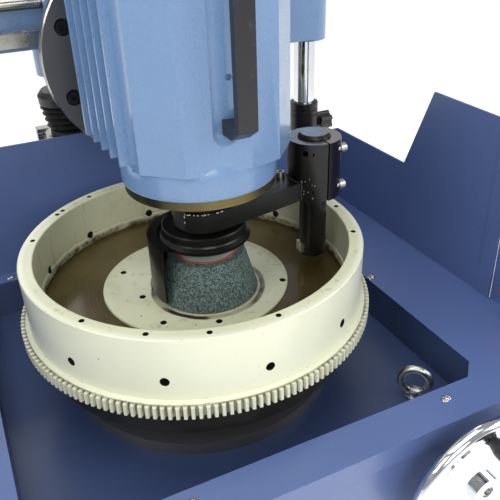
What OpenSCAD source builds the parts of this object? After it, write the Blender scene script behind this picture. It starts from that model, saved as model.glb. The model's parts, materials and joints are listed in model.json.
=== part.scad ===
// Flywheel grinding machine with a pot flywheel mounted on its rotary table.
// Units are millimetres. +Z is up, +X is the operator's right, +Y points away from the operator.
// The origin lies on the floor, under the axis of the rotary table.

/* [Cabinet] */
// height of the deck above the floor
deck_h = 900; // [880:5:940]
// width of the cabinet over its side panels
cabinet_w = 816; // [810:2:840]
// how far the deck reaches in front of the table axis
deck_front = 311; // [305:1:330]
// how far the cabinet reaches behind the table axis
cabinet_back = 430; // [420:5:480]
// thickness of the painted steel sheet
sheet = 3; // [2:0.5:3]
// half the width of the coolant well
well_x = 280; // [270:1:285]
// depth of the coolant well below the deck
well_depth = 60; // [50:1:62]
// height of the tall parts of the splash walls above the deck
wall_tall = 268; // [250:1:290]
// height of the low parts of the splash walls above the deck
wall_low = 136; // [120:1:150]

/* [Flywheel on the table] */
// outer diameter of the flywheel rim
rim_d = 444; // [438:1:448]
// inner diameter of the pot at the top of the rim
pot_d = 407; // [405:1:410]
// height of the flywheel over its rim
rim_h = 100; // [99:1:104]
// diameter of the raised hub disc in the pot
hub_d = 250; // [240:1:260]
// number of teeth of the ring gear
ring_teeth = 174; // [150:1:180]
// tip diameter of the ring gear
ring_tip_d = 467; // [460:1:470]

/* [Grinding head] */
// distance of the spindle axis to the right of the table axis
head_x = 8; // [0:1:9]
// distance of the spindle axis in front of the table axis
head_y = 25; // [22:1:28]
// diameter of the cup stone at its grinding edge
stone_d = 132; // [120:1:134]
// height of the cup stone
stone_h = 57; // [54:1:58]
// height of the motor housing above its round collar
motor_h = 420; // [380:10:440]
// radius at which the tool bar stands from the spindle axis
arm_reach = 160; // [156:1:161]
// diameter of the tool bar
tool_bar_d = 37; // [34:1:38]
// diameter of the swivel disc behind the motor
swivel_d = 270; // [264:2:276]

/* [Columns] */
// diameter of the two chromed columns
column_d = 40; // [36:1:42]
// distance of the columns behind the table axis
column_y = 350; // [345:1:355]
// height of the column tops above the floor
column_top = 1760; // [1740:10:1840]

/* [Hidden] */

$fn = 96;
eps = 0.1;             // overlap of cutting tools past the cut face
run = 0.05;            // radial clearance of a running fit
gap = 0.5;             // clearance between pieces that move past each other

// heights taken from the deck and the seated flywheel
plinth_h = 80;
table_top = deck_h + 46;
rim_top = table_top + rim_h;
face_z = rim_top - 70;             // friction face of the flywheel
hub_z = rim_top - 66;              // top of the raised hub disc
ring_top = rim_top - 83;
ring_h = 15;
well_floor = deck_h - well_depth;
well_front = 259;
well_back = 257;
well_chamfer = 22;
splash_y = 284;                    // inner face of the back splash wall
back_tall = rim_top + 67 - deck_h; // height of the tall part of the back wall
collar_r = 182;                    // raised collar of the table housing in the well
half_w = cabinet_w / 2;

// heights on the grinding head, all above the floor
stone_z = rim_top - 64;            // grinding edge of the cup stone
stone_top = stone_z + stone_h;
flange_z = stone_top + 19;         // underside of the black wheel flange
flange_h = 21;
flange_r = 53.5;
nose_z = flange_z + flange_h + 2;
hub_low = nose_z + 2;              // underside of the arm hub
arm_h = 25;
collar_z = nose_z + 66;            // underside of the round motor collar
ring_low = collar_z - 11;
motor_top = collar_z + motor_h;
swivel_z = rim_top + 204;
shaft_r = 20;
nose_r = 38;
arm_hub_r = 44;

// columns, carriage and cross slide
column_r = column_d / 2;
left_x = -74;
right_x = 369;
screw_x = 215;                     // feed screw and hand feed shaft
screw_r = 12;
foot_left_top = rim_top + 54;
gaiter_h = 71;
carriage_z = rim_top + 150;
carriage_h = 200;
boss_r = 38;
web_y = 300;
web_t = 34;
rail_z = [carriage_z + 66, carriage_z + carriage_h - 34];
rail_w = 20;
rail_h = 17;
rail_len = 500;
rail_x = -200;
block_len = 50;
block_w = 44;
saddle_y = 236;
saddle_t = 24;
saddle_w = 212;
disc_front = 160;
disc_back = 198;
plate_t = 15;                      // front plate of the swivel disc
disc_step = 13;                    // its overhang past the rear part
pivot_r = 25;
cross_y = 277;
cross_z = (rail_z[0] + rail_z[1]) / 2;
cross_r = 9;
shaft_z = deck_h - 84;             // height of the hand feed shaft
wheel_r = 97;                      // middle radius of the handwheel rim
wheel_y = -deck_front - 34;        // plane of the handwheel rim
grip_r = 76;                       // radius at which the grip turns

// table drive
motor_x = -190;
motor_y = 60;
pulley_z = 622;
pulley_h = 30;
big_pulley_r = 70;
small_pulley_r = 35;
belt_t = 6;

blue = [0.24, 0.31, 0.52];
sky = [0.45, 0.58, 0.78];
steel = [0.68, 0.68, 0.66];
chrome = [0.8, 0.82, 0.84];
black = [0.09, 0.09, 0.10];
cream = [0.86, 0.87, 0.76];
grey = [0.30, 0.30, 0.31];
bronze = [0.66, 0.49, 0.24];

// a box given by two opposite corners
module span(a, b) {
    translate(a) cube(b - a);
}

// a cylinder that starts at a point and runs along X, Y or Z
module rod_x(p, r, l) {
    translate(p) rotate([0, 90, 0]) cylinder(r = r, h = l);
}
module rod_y(p, r, l) {
    translate(p) rotate([-90, 0, 0]) cylinder(r = r, h = l);
}
module rod_z(p, r, l) {
    translate(p) cylinder(r = r, h = l);
}

// a ring standing on the XY plane
module ring(r_out, r_in, h) {
    difference() {
        cylinder(r = r_out, h = h);
        translate([0, 0, -eps]) cylinder(r = r_in, h = h + 2 * eps);
    }
}

// rectangle with chamfered corners, centred on x
module chamfered(x, y0, y1, c) {
    polygon([[-x + c, y0], [x - c, y0], [x, y0 + c], [x, y1 - c], [x - c, y1], [-x + c, y1],
        [-x, y1 - c], [-x, y0 + c]]);
}

// socket-head cap screw, head up, seated at z = 0
module cap_screw(d, l) {
    difference() {
        union() {
            cylinder(r = 0.8 * d, h = d);
            translate([0, 0, -l]) cylinder(r = d / 2, h = l);
        }
        translate([0, 0, d / 2]) cylinder(r = 0.45 * d, h = d, $fn = 6);
    }
}

// pan-head machine screw, head up, seated at z = 0
module pan_screw(d, l) {
    difference() {
        union() {
            cylinder(r1 = d, r2 = 0.75 * d, h = 0.6 * d);
            translate([0, 0, -l]) cylinder(r = d / 2, h = l);
        }
        translate([-d, -0.1 * d, 0.35 * d]) cube([2 * d, 0.2 * d, d]);
    }
}

// lobed knob with its axis on Z and its stud below z = 0
module star_knob(r, h, stud_r, stud_l) {
    cylinder(r = 0.78 * r, h = h);
    for (a = [0:60:300]) rotate(a) translate([0.74 * r, 0, 0]) cylinder(r = 0.26 * r, h = h);
    translate([0, 0, -4]) cylinder(r = 0.4 * r, h = 4);
    translate([0, 0, -stud_l]) cylinder(r = stud_r, h = stud_l);
}

// ---------------------------------------------------------------- cabinet

plinth_holes = [[-330, -240], [330, -240], [-330, 360], [330, 360]];

module plinth() color(grey) difference() {
    span([-half_w + 18, -deck_front + 21, 0], [half_w - 18, cabinet_back - 18, plinth_h]);
    span([-half_w + 98, -deck_front + 101, 12], [half_w - 98, cabinet_back - 98, plinth_h + eps]);
    for (p = plinth_holes) {
        rod_z([p[0], p[1], -eps], 9, plinth_h + 2 * eps);
        rod_z([p[0], p[1], 20], 17, plinth_h);
    }
}

door_x0 = -300;
door_x1 = 60;
door_z0 = 200;
door_z1 = 780;
door_gap = 1.5;
front_y = -deck_front + sheet;     // outer face of the front panel

module cabinet_shell() color(blue) difference() {
    span([-half_w, front_y, plinth_h], [half_w, cabinet_back, deck_h - sheet]);
    span([-half_w + sheet, front_y + sheet, plinth_h + sheet],
        [half_w - sheet, cabinet_back - sheet, deck_h]);
    span([door_x0 - door_gap, front_y - eps, door_z0 - door_gap],
        [door_x1 + door_gap, front_y + sheet + eps, door_z1 + door_gap]);
    rod_y([screw_x, front_y - eps, shaft_z], 8 + run, sheet + 2 * eps);
    for (p = plinth_holes) rod_z([p[0], p[1], plinth_h - eps], 17, sheet + 2 * eps);
}

deck_screw_at = [for (x = [-330, -223, 0]) [x, 270], for (x = [-330, -120, 210, 330]) [x, -277],
    for (x = [-330, 289]) [x, -9], [345, 270]];
eyebolt_x = 222;
eyebolt_y = -206;

module deck_tray() color(blue) {
    difference() {
        translate([0, 0, deck_h - sheet]) linear_extrude(sheet)
            polygon([[-half_w, -deck_front], [half_w, -deck_front], [half_w, cabinet_back],
                [-half_w, cabinet_back]]);
        translate([0, 0, deck_h - sheet - eps]) linear_extrude(sheet + 2 * eps)
            chamfered(well_x, -well_front, well_back, well_chamfer);
        rod_z([screw_x, column_y, deck_h - sheet - eps], screw_r + 4, sheet + 2 * eps);
        for (p = deck_screw_at) rod_z([p[0], p[1], deck_h - sheet - eps], 3, sheet + 2 * eps);
    }
    difference() {
        translate([0, 0, well_floor - sheet]) linear_extrude(well_depth)
            chamfered(well_x + sheet, -well_front - sheet, well_back + sheet, well_chamfer + 1);
        translate([0, 0, well_floor]) linear_extrude(well_depth + eps)
            chamfered(well_x, -well_front, well_back, well_chamfer);
        rod_z([0, 0, well_floor - sheet - eps], 62, sheet + 2 * eps);
        rod_z([-200, 180, well_floor - sheet - eps], 14, sheet + 2 * eps);
        rod_z([eyebolt_x, eyebolt_y, well_floor - sheet - eps], 6, sheet + 2 * eps);
    }
    span([-half_w, -deck_front, deck_h - 28], [half_w, front_y, deck_h - sheet]);
    feed_bracket();
}

// bearings of the feed shaft and of the feed screw, welded under the deck
bracket_t = 12;
bracket_y = column_y - 80;
module feed_bracket() difference() {
    union() {
        for (s = [-1, 1]) span([screw_x + s * 64 - bracket_t / 2, bracket_y, shaft_z - 104],
            [screw_x + s * 64 + bracket_t / 2, column_y + 30, deck_h - sheet]);
        span([screw_x - 64, bracket_y, shaft_z - 24], [screw_x + 64, bracket_y + 20, shaft_z + 24]);
        span([screw_x - 64, column_y - 30, shaft_z - 104], [screw_x + 64, column_y + 30, shaft_z - 90]);
        rod_z([screw_x, column_y, shaft_z - 91], 20, 30);
    }
    rod_y([screw_x, bracket_y - eps, shaft_z], 8 + run, 24);
    rod_z([screw_x, column_y, shaft_z - 105], 8 + run, 60);
}

// profile of a splash wall: low at the back, a slanted step, tall in front
module side_profile() {
    polygon([[-138, 0], [splash_y + sheet, 0], [splash_y + sheet, wall_low], [82, wall_low + 1],
        [27, wall_tall + 1], [-138, wall_tall - 1]]);
}

module side_wall() {
    translate([half_w - sheet, 0, deck_h]) rotate([90, 0, 90]) linear_extrude(sheet) side_profile();
    span([half_w - sheet - 1.5, -138, deck_h], [half_w - sheet, -114, deck_h + wall_tall - 1]);
}

module right_splash() color(blue) side_wall();

module left_splash() color(blue) mirror([1, 0, 0]) side_wall();

module back_splash() color(blue) {
    translate([0, splash_y + sheet, deck_h]) rotate([90, 0, 0]) linear_extrude(sheet)
        polygon([[-half_w + sheet, 0], [half_w - sheet, 0], [half_w - sheet, wall_low],
            [95, wall_low], [40, back_tall], [-half_w + sheet, back_tall]]);
}
module deck_screws() color(steel) for (p = deck_screw_at)
    translate([p[0], p[1], deck_h]) pan_screw(5, 8);

module lifting_eyebolt() color(steel) translate([eyebolt_x, eyebolt_y, well_floor]) {
    cylinder(r = 12, h = 5);
    translate([0, 0, -14]) cylinder(r = 5.5, h = 14);
    cylinder(r1 = 10, r2 = 8, h = 12);
    translate([0, 0, 28]) rotate([90, 0, -43]) rotate_extrude() translate([18.5, 0]) circle(r = 5.5);
}

module door_hinges() color(grey) for (z = [door_z0 + 70, door_z1 - 130]) {
    rod_z([door_x0 - 6, front_y - 5, z], 5, 24);
    rod_z([door_x0 - 6, front_y - 5, z + 24], 3, 30);
    span([door_x0 - 30, front_y - 4, z], [door_x0 - 6, front_y, z + 24]);
}

module door_panel() color(blue) {
    difference() {
        span([door_x0, front_y, door_z0], [door_x1, front_y + sheet, door_z1]);
        rod_y([door_x1 - 30, front_y - eps, 490], 8 + run, sheet + 2 * eps);
    }
    for (z = [door_z0 + 70, door_z1 - 130]) difference() {
        union() {
            rod_z([door_x0 - 6, front_y - 5, z + 24.5], 5, 29);
            span([door_x0 - 6, front_y - 4, z + 24.5], [door_x0 + 20, front_y, z + 53.5]);
        }
        rod_z([door_x0 - 6, front_y - 5, z + 24], 3 + run, 30.5);
    }
}

module door_latch() color(black) {
    rod_y([door_x1 - 30, front_y - 8, 490], 14, 7.5);
    rod_y([door_x1 - 30, front_y - 1, 490], 8, 12);
    span([door_x1 - 34, front_y - 22, 478], [door_x1 - 26, front_y - 8, 502]);
    span([door_x1 - 36, front_y + sheet + 1, 484], [door_x1 - 6, front_y + sheet + 4, 496]);
}

pillar_x0 = half_w;
pillar_x1 = half_w + 122;
pillar_y0 = -302;
pillar_y1 = -138;
pillar_top = deck_h + 330;
pillar_low = 560;
pillar_slope = 150;                // height of the sloping front
button_y = -194;
button_z = deck_h + 45;
// middle of the sloping front of the pillar
panel_x = (pillar_x0 + pillar_x1) / 2;
panel_y = (pillar_y0 + pillar_y1 - 60) / 2;
panel_z = pillar_top - pillar_slope / 2;
panel_tilt = atan2(pillar_slope, pillar_y1 - 60 - pillar_y0);

// side outline of the pillar, a distance inside its skin
module pillar_outline(t) {
    polygon([[pillar_y0 + t, pillar_low + t], [pillar_y1 - t, pillar_low + t],
        [pillar_y1 - t, pillar_top - t], [pillar_y1 - 60 - t / 2, pillar_top - t],
        [pillar_y0 + t, pillar_top - pillar_slope - t / 2]]);
}

module control_pillar() color(blue) difference() {
    translate([pillar_x0, 0, 0]) rotate([90, 0, 90]) linear_extrude(pillar_x1 - pillar_x0)
        pillar_outline(0);
    translate([pillar_x0 + sheet, 0, 0]) rotate([90, 0, 90])
        linear_extrude(pillar_x1 - pillar_x0 - 2 * sheet) pillar_outline(sheet);
    rod_x([pillar_x0 - eps, button_y, button_z], 11 + run, 20);
    translate([panel_x, panel_y, panel_z]) rotate([panel_tilt, 0, 0])
        translate([0, 0, -14]) cylinder(r = 11 + run, h = 20);
}

module stop_button() color([0.75, 0.08, 0.06]) {
    rod_x([pillar_x0 - 26, button_y, button_z], 18, 10);
    rod_x([pillar_x0 - 17, button_y, button_z], 11, 29);
}

module start_button() color([0.1, 0.5, 0.2])
    translate([panel_x, panel_y, panel_z]) rotate([panel_tilt, 0, 0])
        translate([0, 0, -8]) cylinder(r = 11, h = 17);

// ---------------------------------------------------------------- columns

module column_left() color(chrome)
    rod_z([left_x, column_y, deck_h], column_r, column_top - deck_h);

module column_right() color(chrome)
    rod_z([right_x, column_y, deck_h], column_r, column_top - deck_h);

module foot_left() color(steel) difference() {
    union() {
        span([left_x - 42, column_y - 42, deck_h], [left_x + 42, column_y + 28, foot_left_top - 16]);
        rod_z([left_x, column_y, foot_left_top - 17], 42, 17);
        span([left_x - 52, column_y + 28, foot_left_top - 60], [left_x + 60, column_y + 48, foot_left_top]);
    }
    rod_z([left_x, column_y, deck_h - eps], column_r, foot_left_top);
    span([left_x - 60, column_y + 26, foot_left_top - 7], [left_x + 70, column_y + 29.5, foot_left_top - 4]);
}

module foot_right() color(steel) difference() {
    union() {
        span([right_x - 36, column_y - 45, deck_h], [right_x + 36, column_y + 45, deck_h + 22]);
        rod_z([right_x, column_y, deck_h], 34, 82);
    }
    rod_z([right_x, column_y, deck_h - eps], column_r, 90);
    for (a = [-1, 1], b = [-1, 1])
        rod_z([right_x + 27 * a, column_y + 36 * b, deck_h - eps], 4, 30);
}

// folds of the gaiter, wider towards the top, between a clamping ring and a rounded cap
gaiter_folds = [for (i = [0:3]) each [[29 + 2 * i, 7 + 10 * i], [37 + 2 * i, 13 + 10 * i]]];

module column_gaiter() color(black) translate([left_x, column_y, foot_left_top]) rotate_extrude()
    polygon(concat([[21, gaiter_h], [21, 0], [33, 0], [33, 5]], gaiter_folds,
        [[37, 46], [43, 49], [44, 62], [38, gaiter_h - 1], [30, gaiter_h]]));

module crosshead() color(sky) difference() {
    union() {
        span([left_x, column_y - 36, column_top - 50], [right_x, column_y + 36, column_top - 4]);
        for (x = [left_x, right_x]) rod_z([x, column_y, column_top - 54], 40, 54);
        rod_z([screw_x, column_y, column_top - 58], 34, 64);
    }
    for (x = [left_x, right_x]) rod_z([x, column_y, column_top - 60], column_r, 70);
    rod_z([screw_x, column_y, column_top - 60], screw_r - 2 + run, 80);
}

module stop_collar() color(black) difference() {
    translate([right_x, column_y, rim_top - 26]) rotate_extrude()
        polygon([[column_r + run, 0], [26, 0], [27, 1], [27, 34], [25.5, 35], [25.5, 37], [27, 38],
            [27, 44], [25.5, 45], [25.5, 47], [27, 48], [27, 57], [25.5, 58.5], [column_r + run, 58.5]]);
    rod_x([right_x + column_r - 2, column_y, rim_top - 14], 4 + run, 12);
}

module collar_knob() color(black) translate([right_x + 32, column_y, rim_top - 14])
    rotate([0, 90, 0]) star_knob(19, 24, 4, 10);

// ---------------------------------------------------------------- hand feed

module feed_screw() color(steel) {
    rod_z([screw_x, column_y, shaft_z - 12], screw_r, column_top - 60 - shaft_z + 12);
    rod_z([screw_x, column_y, shaft_z - 86], 8, 80);
    rod_z([screw_x, column_y, column_top - 64], screw_r - 2, 82);
    rod_z([screw_x, column_y, column_top + 6.5], 16, 12);
    difference() {
        translate([screw_x, column_y, shaft_z - 48]) cylinder(r1 = 47.5, r2 = 33.5, h = 14);
        for (i = [0:23]) translate([screw_x, column_y, shaft_z - 48]) rotate(i * 15)
            translate([40, 0, 8]) rotate([0, 45, 0]) cube([16, 3, 7], center = true);
    }
}

module pinion_shaft() color(steel) {
    rod_y([screw_x, wheel_y - 8, shaft_z], 8, column_y - 34 - 13 - wheel_y + 8);
    difference() {
        translate([screw_x, column_y - 48, shaft_z]) rotate([-90, 0, 0])
            cylinder(r1 = 47.5, r2 = 33.5, h = 14);
        for (i = [0:23]) translate([screw_x, column_y - 48, shaft_z]) rotate([-90, 0, 0])
            rotate(i * 15 + 7.5) translate([40, 0, 8]) rotate([0, 45, 0])
                cube([16, 3, 7], center = true);
    }
}

module handwheel() color(chrome) translate([screw_x, wheel_y, shaft_z]) rotate([-90, 0, 0])
    difference() {
        union() {
            rotate_extrude() translate([wheel_r, 0]) circle(r = 8);
            rotate_extrude() polygon([[0, -4], [wheel_r - 16, -4], [wheel_r - 2, -7],
                [wheel_r - 2, 5], [wheel_r - 16, 4], [0, 4]]);
            translate([0, 0, -12]) cylinder(r = 20, h = 26);
        }
        translate([0, 0, -20]) cylinder(r = 8, h = 40);
        translate([0, -grip_r, -14]) cylinder(r = 4 + run, h = 28);
    }

module handwheel_grip() color(black) translate([screw_x, wheel_y, shaft_z + grip_r]) rotate([90, 0, 0]) {
    translate([0, 0, -3]) cylinder(r = 4, h = 10);
    translate([0, 0, 4.5]) rotate_extrude() polygon([[0, 0], [7, 0], [11, 12], [12, 34], [10, 50],
        [6, 56], [0, 57]]);
}

// ---------------------------------------------------------------- carriage

module carriage() color(sky) difference() {
    union() {
        for (x = [left_x, right_x]) rod_z([x, column_y, carriage_z], boss_r, carriage_h);
        span([left_x, web_y, carriage_z + 6], [right_x, web_y + web_t, carriage_z + carriage_h - 6]);
        span([screw_x - 34, web_y + web_t - 4, cross_z - 36],
            [screw_x + 34, column_y + 34, cross_z + 36]);
        for (x = [left_x + 60, right_x - 84])
            span([x, web_y + web_t, carriage_z + 6], [x + 24, column_y + 24, carriage_z + carriage_h - 6]);
        span([rail_x, web_y, rail_z[0] - 18], [left_x, web_y + 20, rail_z[1] + 18]);
        for (x = [rail_x + 4, rail_x + rail_len - 22])
            span([x, cross_y - 15, cross_z - 16], [x + 16, web_y, cross_z + 16]);
    }
    for (x = [left_x, right_x]) rod_z([x, column_y, carriage_z - eps], 26, carriage_h + 2 * eps);
    rod_z([screw_x, column_y, cross_z - 40], 20, 80);
    rod_z([screw_x, column_y, cross_z - 48], 33, 12);
    rod_x([rail_x, cross_y, cross_z], cross_r - 1 + run, rail_len);
}

module column_bushes() color(bronze)
    for (x = [left_x, right_x], z = [carriage_z, carriage_z + carriage_h - 60])
        translate([x, column_y, z]) ring(26, column_r + run, 60);

module feed_nut() color(bronze) translate([screw_x, column_y, cross_z - 46]) difference() {
    union() {
        cylinder(r = 32, h = 10);
        cylinder(r = 20, h = 80);
    }
    translate([0, 0, -eps]) cylinder(r = screw_r + run, h = 90);
}

module cross_rails() color(steel) for (z = rail_z) difference() {
    span([rail_x, web_y - rail_h, z - rail_w / 2], [rail_x + rail_len, web_y, z + rail_w / 2]);
    for (s = [-1, 1]) translate([rail_x - eps, web_y - rail_h / 2, z + s * rail_w / 2])
        rotate([45, 0, 0]) translate([0, -2, -2]) cube([rail_len + 2 * eps, 4, 4]);
}

module cross_screw() color(steel) {
    rod_x([rail_x + 22, cross_y, cross_z], cross_r, rail_len - 46);
    rod_x([rail_x - 6, cross_y, cross_z], cross_r - 1, rail_len + 22);
}

module cross_knob() color(black) difference() {
    translate([rail_x + rail_len + 1, cross_y, cross_z]) rotate([0, 90, 0]) {
        cylinder(r = 17, h = 14);
        for (a = [0:45:315]) rotate(a) translate([16, 0, 0]) cylinder(r = 5, h = 14);
    }
    rod_x([rail_x + rail_len, cross_y, cross_z], cross_r - 1, 20);
}

module saddle() color(sky) difference() {
    union() {
        span([head_x - saddle_w / 2, saddle_y, carriage_z + 8],
            [head_x + saddle_w / 2, saddle_y + saddle_t, carriage_z + carriage_h - 8]);
        rod_y([head_x, disc_back + gap, swivel_z], swivel_d / 2 - disc_step - 5,
            saddle_y - disc_back - gap + 1);
        span([head_x - 22, saddle_y + saddle_t - 1, cross_z - 18], [head_x + 22, cross_y + 15, cross_z + 18]);
    }
    rod_x([head_x - 40, cross_y, cross_z], cross_r + run, 80);
    rod_y([head_x, disc_back, swivel_z], pivot_r + run, 32);
}

module rail_blocks() color(steel) for (z = rail_z, s = [-1, 1]) difference() {
    span([head_x + 78 * s - block_len / 2, saddle_y + saddle_t, z - block_w / 2],
        [head_x + 78 * s + block_len / 2, web_y - 3, z + block_w / 2]);
    span([head_x + 78 * s - block_len, web_y - rail_h - run, z - rail_w / 2 - run],
        [head_x + 78 * s + block_len, web_y, z + rail_w / 2 + run]);
}

// ---------------------------------------------------------------- grinding head

swivel_bolt_r = 111;
swivel_bolts = [24, 90, 156, 204, 270, 336];

module swivel_disc() color(grey) difference() {
    union() {
        translate([head_x, disc_front, swivel_z]) rotate([-90, 0, 0]) rotate_extrude()
            polygon([[0, 0], [swivel_d / 2 - 1.5, 0], [swivel_d / 2, 1.5], [swivel_d / 2, plate_t],
                [swivel_d / 2 - disc_step, plate_t], [swivel_d / 2 - disc_step, disc_back - disc_front],
                [0, disc_back - disc_front]]);
        rod_y([head_x, disc_back - 1, swivel_z], pivot_r, 28);
    }
    for (a = swivel_bolts) translate([head_x + swivel_bolt_r * cos(a), 0,
        swivel_z + swivel_bolt_r * sin(a)]) {
        rod_y([0, disc_front - eps, 0], 11, 12);
        rod_y([0, disc_front, 0], 6, 36);
    }
}

module swivel_screws() color(black) for (a = swivel_bolts)
    translate([head_x + swivel_bolt_r * cos(a), disc_front + 12 - eps, swivel_z + swivel_bolt_r * sin(a)])
        rotate([90, 0, 0]) cap_screw(11, 22);

facet_z = collar_z + 30;           // lower ends of the facets and ribs
bore_r = 76;
grip_x = -3;
grip_w = 22;
grip_z = collar_z + 71;            // lower end of the handle
grip_len = 210;
grip_leg = 17;
seat_y = -84;                      // depth of the seats that take the legs of the handle
scallop_r = 22;

// plan of the motor housing about the spindle axis, with flat facets in front
module motor_plan() polygon([[-92, 126], [-90, -15], [-88, -41], [-87, -49], [-47, -86], [27, -93],
    [66, -83], [104, -38], [108, 40], [108, 100], [88, 126]]);

module motor_housing() color(sky) translate([head_x, -head_y, 0]) {
    difference() {
        union() {
            translate([0, 0, facet_z]) linear_extrude(motor_top - facet_z) motor_plan();
            rotate_extrude() polygon([[0, collar_z], [92.5, collar_z], [93.5, collar_z + 1],
                [94, collar_z + 26], [88, collar_z + 44], [0, collar_z + 44]]);
            for (i = [0:4]) translate([-99.5 - 2 * i, 31 * i - 16, facet_z]) cube([20, 4, motor_h - 60]);
        }
        translate([0, 0, collar_z + 24]) cylinder(r = bore_r, h = motor_h);
        translate([0, 0, collar_z - eps]) cylinder(r = 45, h = 60);
        translate([6, -112, collar_z + 131]) rotate([-90, 0, 0]) cylinder(r = 3.5, h = 28);
        translate([-3, -107, facet_z + 44]) sphere(r = scallop_r);
        translate([-3, -107, facet_z + 44]) cylinder(r = scallop_r, h = motor_h);
        for (z = [grip_z, grip_z + grip_len - grip_leg])
            span([grip_x, -120, z], [grip_x + grip_w, seat_y, z + grip_leg]);
    }
    translate([-70, 110, swivel_z - 84]) cube([140, disc_front + head_y - 110, 168]);
}

module flange_ring() color(steel) translate([head_x, -head_y, ring_low])
    ring(91, nose_r, collar_z - ring_low);

module fan_cover() color(sky) translate([head_x, -head_y, motor_top]) difference() {
    union() {
        cylinder(r = 96, h = 54);
        translate([0, 0, 54]) cylinder(r1 = 96, r2 = 84, h = 12);
        translate([60, -46, 8]) cube([80, 80, 44]);
    }
    translate([0, 0, -eps]) cylinder(r = 92, h = 52);
    for (r = [30:14:72], a = [0:45:315]) rotate(a + 6) rotate_extrude(angle = 33)
        translate([r, 40]) square([7, 40]);
}

// bent flat bar, drawn from the side
module head_handle() color(black) translate([head_x + grip_x, -head_y, grip_z]) rotate([90, 0, 90])
    linear_extrude(grip_w) polygon([[seat_y, 0], [-106, 0], [-127, 13], [-127, grip_len - 13],
        [-106, grip_len], [seat_y, grip_len], [seat_y, grip_len - grip_leg],
        [-117, grip_len - grip_leg], [-117, grip_leg], [seat_y, grip_leg]]);

module spindle_nose() color(black) translate([head_x, -head_y, nose_z]) difference() {
    union() {
        cylinder(r = nose_r, h = collar_z - nose_z);
        translate([0, 0, collar_z - nose_z]) cylinder(r = 45, h = 24);
    }
    translate([0, 0, -eps]) cylinder(r = shaft_r + 2, h = 20);
    translate([0, 0, 14]) cylinder(r = 32, h = 90);
}

module spindle_bearings() color(steel) translate([head_x, -head_y, 0]) {
    for (z = [nose_z + 14, collar_z]) translate([0, 0, z]) ring(32, shaft_r + run, 22);
    translate([0, 0, motor_top - 40]) ring(bore_r, 32, 18);
    translate([0, 0, motor_top - 40]) ring(32, shaft_r + run, 18);
}

guard_r = 73;
guard_in = 60;                     // inner radius of its shelf and neck, past the wheel flange
module wheel_guard() color(black) translate([head_x, -head_y, 0]) {
    rotate([0, 0, 70]) rotate_extrude(angle = 132) polygon([[guard_r - 3.5, stone_z + 7],
        [guard_r, stone_z + 7], [guard_r, flange_z + 9], [guard_in, flange_z + 9],
        [guard_in, flange_z + 5], [guard_r - 3.5, flange_z + 5]]);
    rotate([0, 0, 73]) rotate_extrude(angle = 33) polygon([[guard_in + 1, flange_z + 7],
        [guard_in + 6, flange_z + 7], [guard_in + 6, ring_low], [nose_r + 2.5, ring_low],
        [nose_r + 2.5, ring_low - 7], [guard_in + 1, ring_low - 7]]);
}

module wheel_spindle() color(steel) translate([head_x, -head_y, 0]) {
    translate([0, 0, stone_top - 37]) cylinder(r = 12, h = 70);
    translate([0, 0, flange_z - 8]) cylinder(r = shaft_r, h = motor_top + 20 - flange_z + 8);
    translate([0, 0, collar_z + 90]) cylinder(r = 60, h = motor_h - 160);
    translate([0, 0, motor_top + 8]) difference() {
        cylinder(r = 84, h = 26);
        for (a = [0:30:330]) rotate(a) translate([30, 4, 4]) cube([70, 14, 30]);
    }
}

blotter_h = 0.8;
module wheel_flange() color(black) translate([head_x, -head_y, 0]) difference() {
    union() {
        translate([0, 0, flange_z]) rotate_extrude() polygon([[0, 0], [flange_r + 3, 0],
            [flange_r + 5, 2], [flange_r + 5, 6], [flange_r + 1, 9], [flange_r, 11],
            [flange_r, flange_h - 1.5], [flange_r - 1.5, flange_h], [0, flange_h]]);
        translate([0, 0, stone_top + blotter_h]) cylinder(r = 38, h = flange_z - stone_top);
    }
    translate([0, 0, stone_top]) cylinder(r = 12 + run, h = 30);
    translate([0, 0, flange_z - 8]) cylinder(r = shaft_r + run, h = 40);
}

module blotter() color([0.7, 0.25, 0.15]) translate([head_x, -head_y, stone_top])
    ring(40.5, 13, blotter_h);

module cup_stone() color([0.33, 0.42, 0.39]) translate([head_x, -head_y, stone_z]) difference() {
    cylinder(r1 = stone_d / 2, r2 = 50, h = stone_h);
    translate([0, 0, -eps]) cylinder(r1 = stone_d / 2 - 18, r2 = 34, h = stone_h - 18 + eps);
    cylinder(r = 12 + run, h = stone_h + eps);
}

module wheel_nut() color(steel) translate([head_x, -head_y, stone_top - 18 - 15]) difference() {
    union() {
        cylinder(r = 20, h = 12, $fn = 6);
        translate([0, 0, 11]) cylinder(r = 26, h = 4);
    }
    translate([0, 0, -eps]) cylinder(r = 12 + run, h = 20);
}

// ---------------------------------------------------------------- tool arm

clamp_r = 35;
clamp_low = rim_top + 36;
clamp_top = rim_top + 115;
clamp_screw_z = [clamp_low + 15, clamp_top - 13];
slit_turn = -88;                   // direction of the clamp slit, seen from above
seat_x = 26;                       // distance of the clamp screws from the bar axis
seat_h = 22;                       // seats of their heads past the slit
stop_x = 118;                      // screw on top of the arm
stop_y = 15;

// plan of the arm, tapering from its hub to the clamp
module arm_plan() polygon([[0, -arm_hub_r], [0.2 * arm_hub_r, -0.98 * arm_hub_r],
    [arm_reach - 10, -15], [arm_reach - 10, 15], [0.2 * arm_hub_r, 0.98 * arm_hub_r], [0, arm_hub_r]]);

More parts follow.
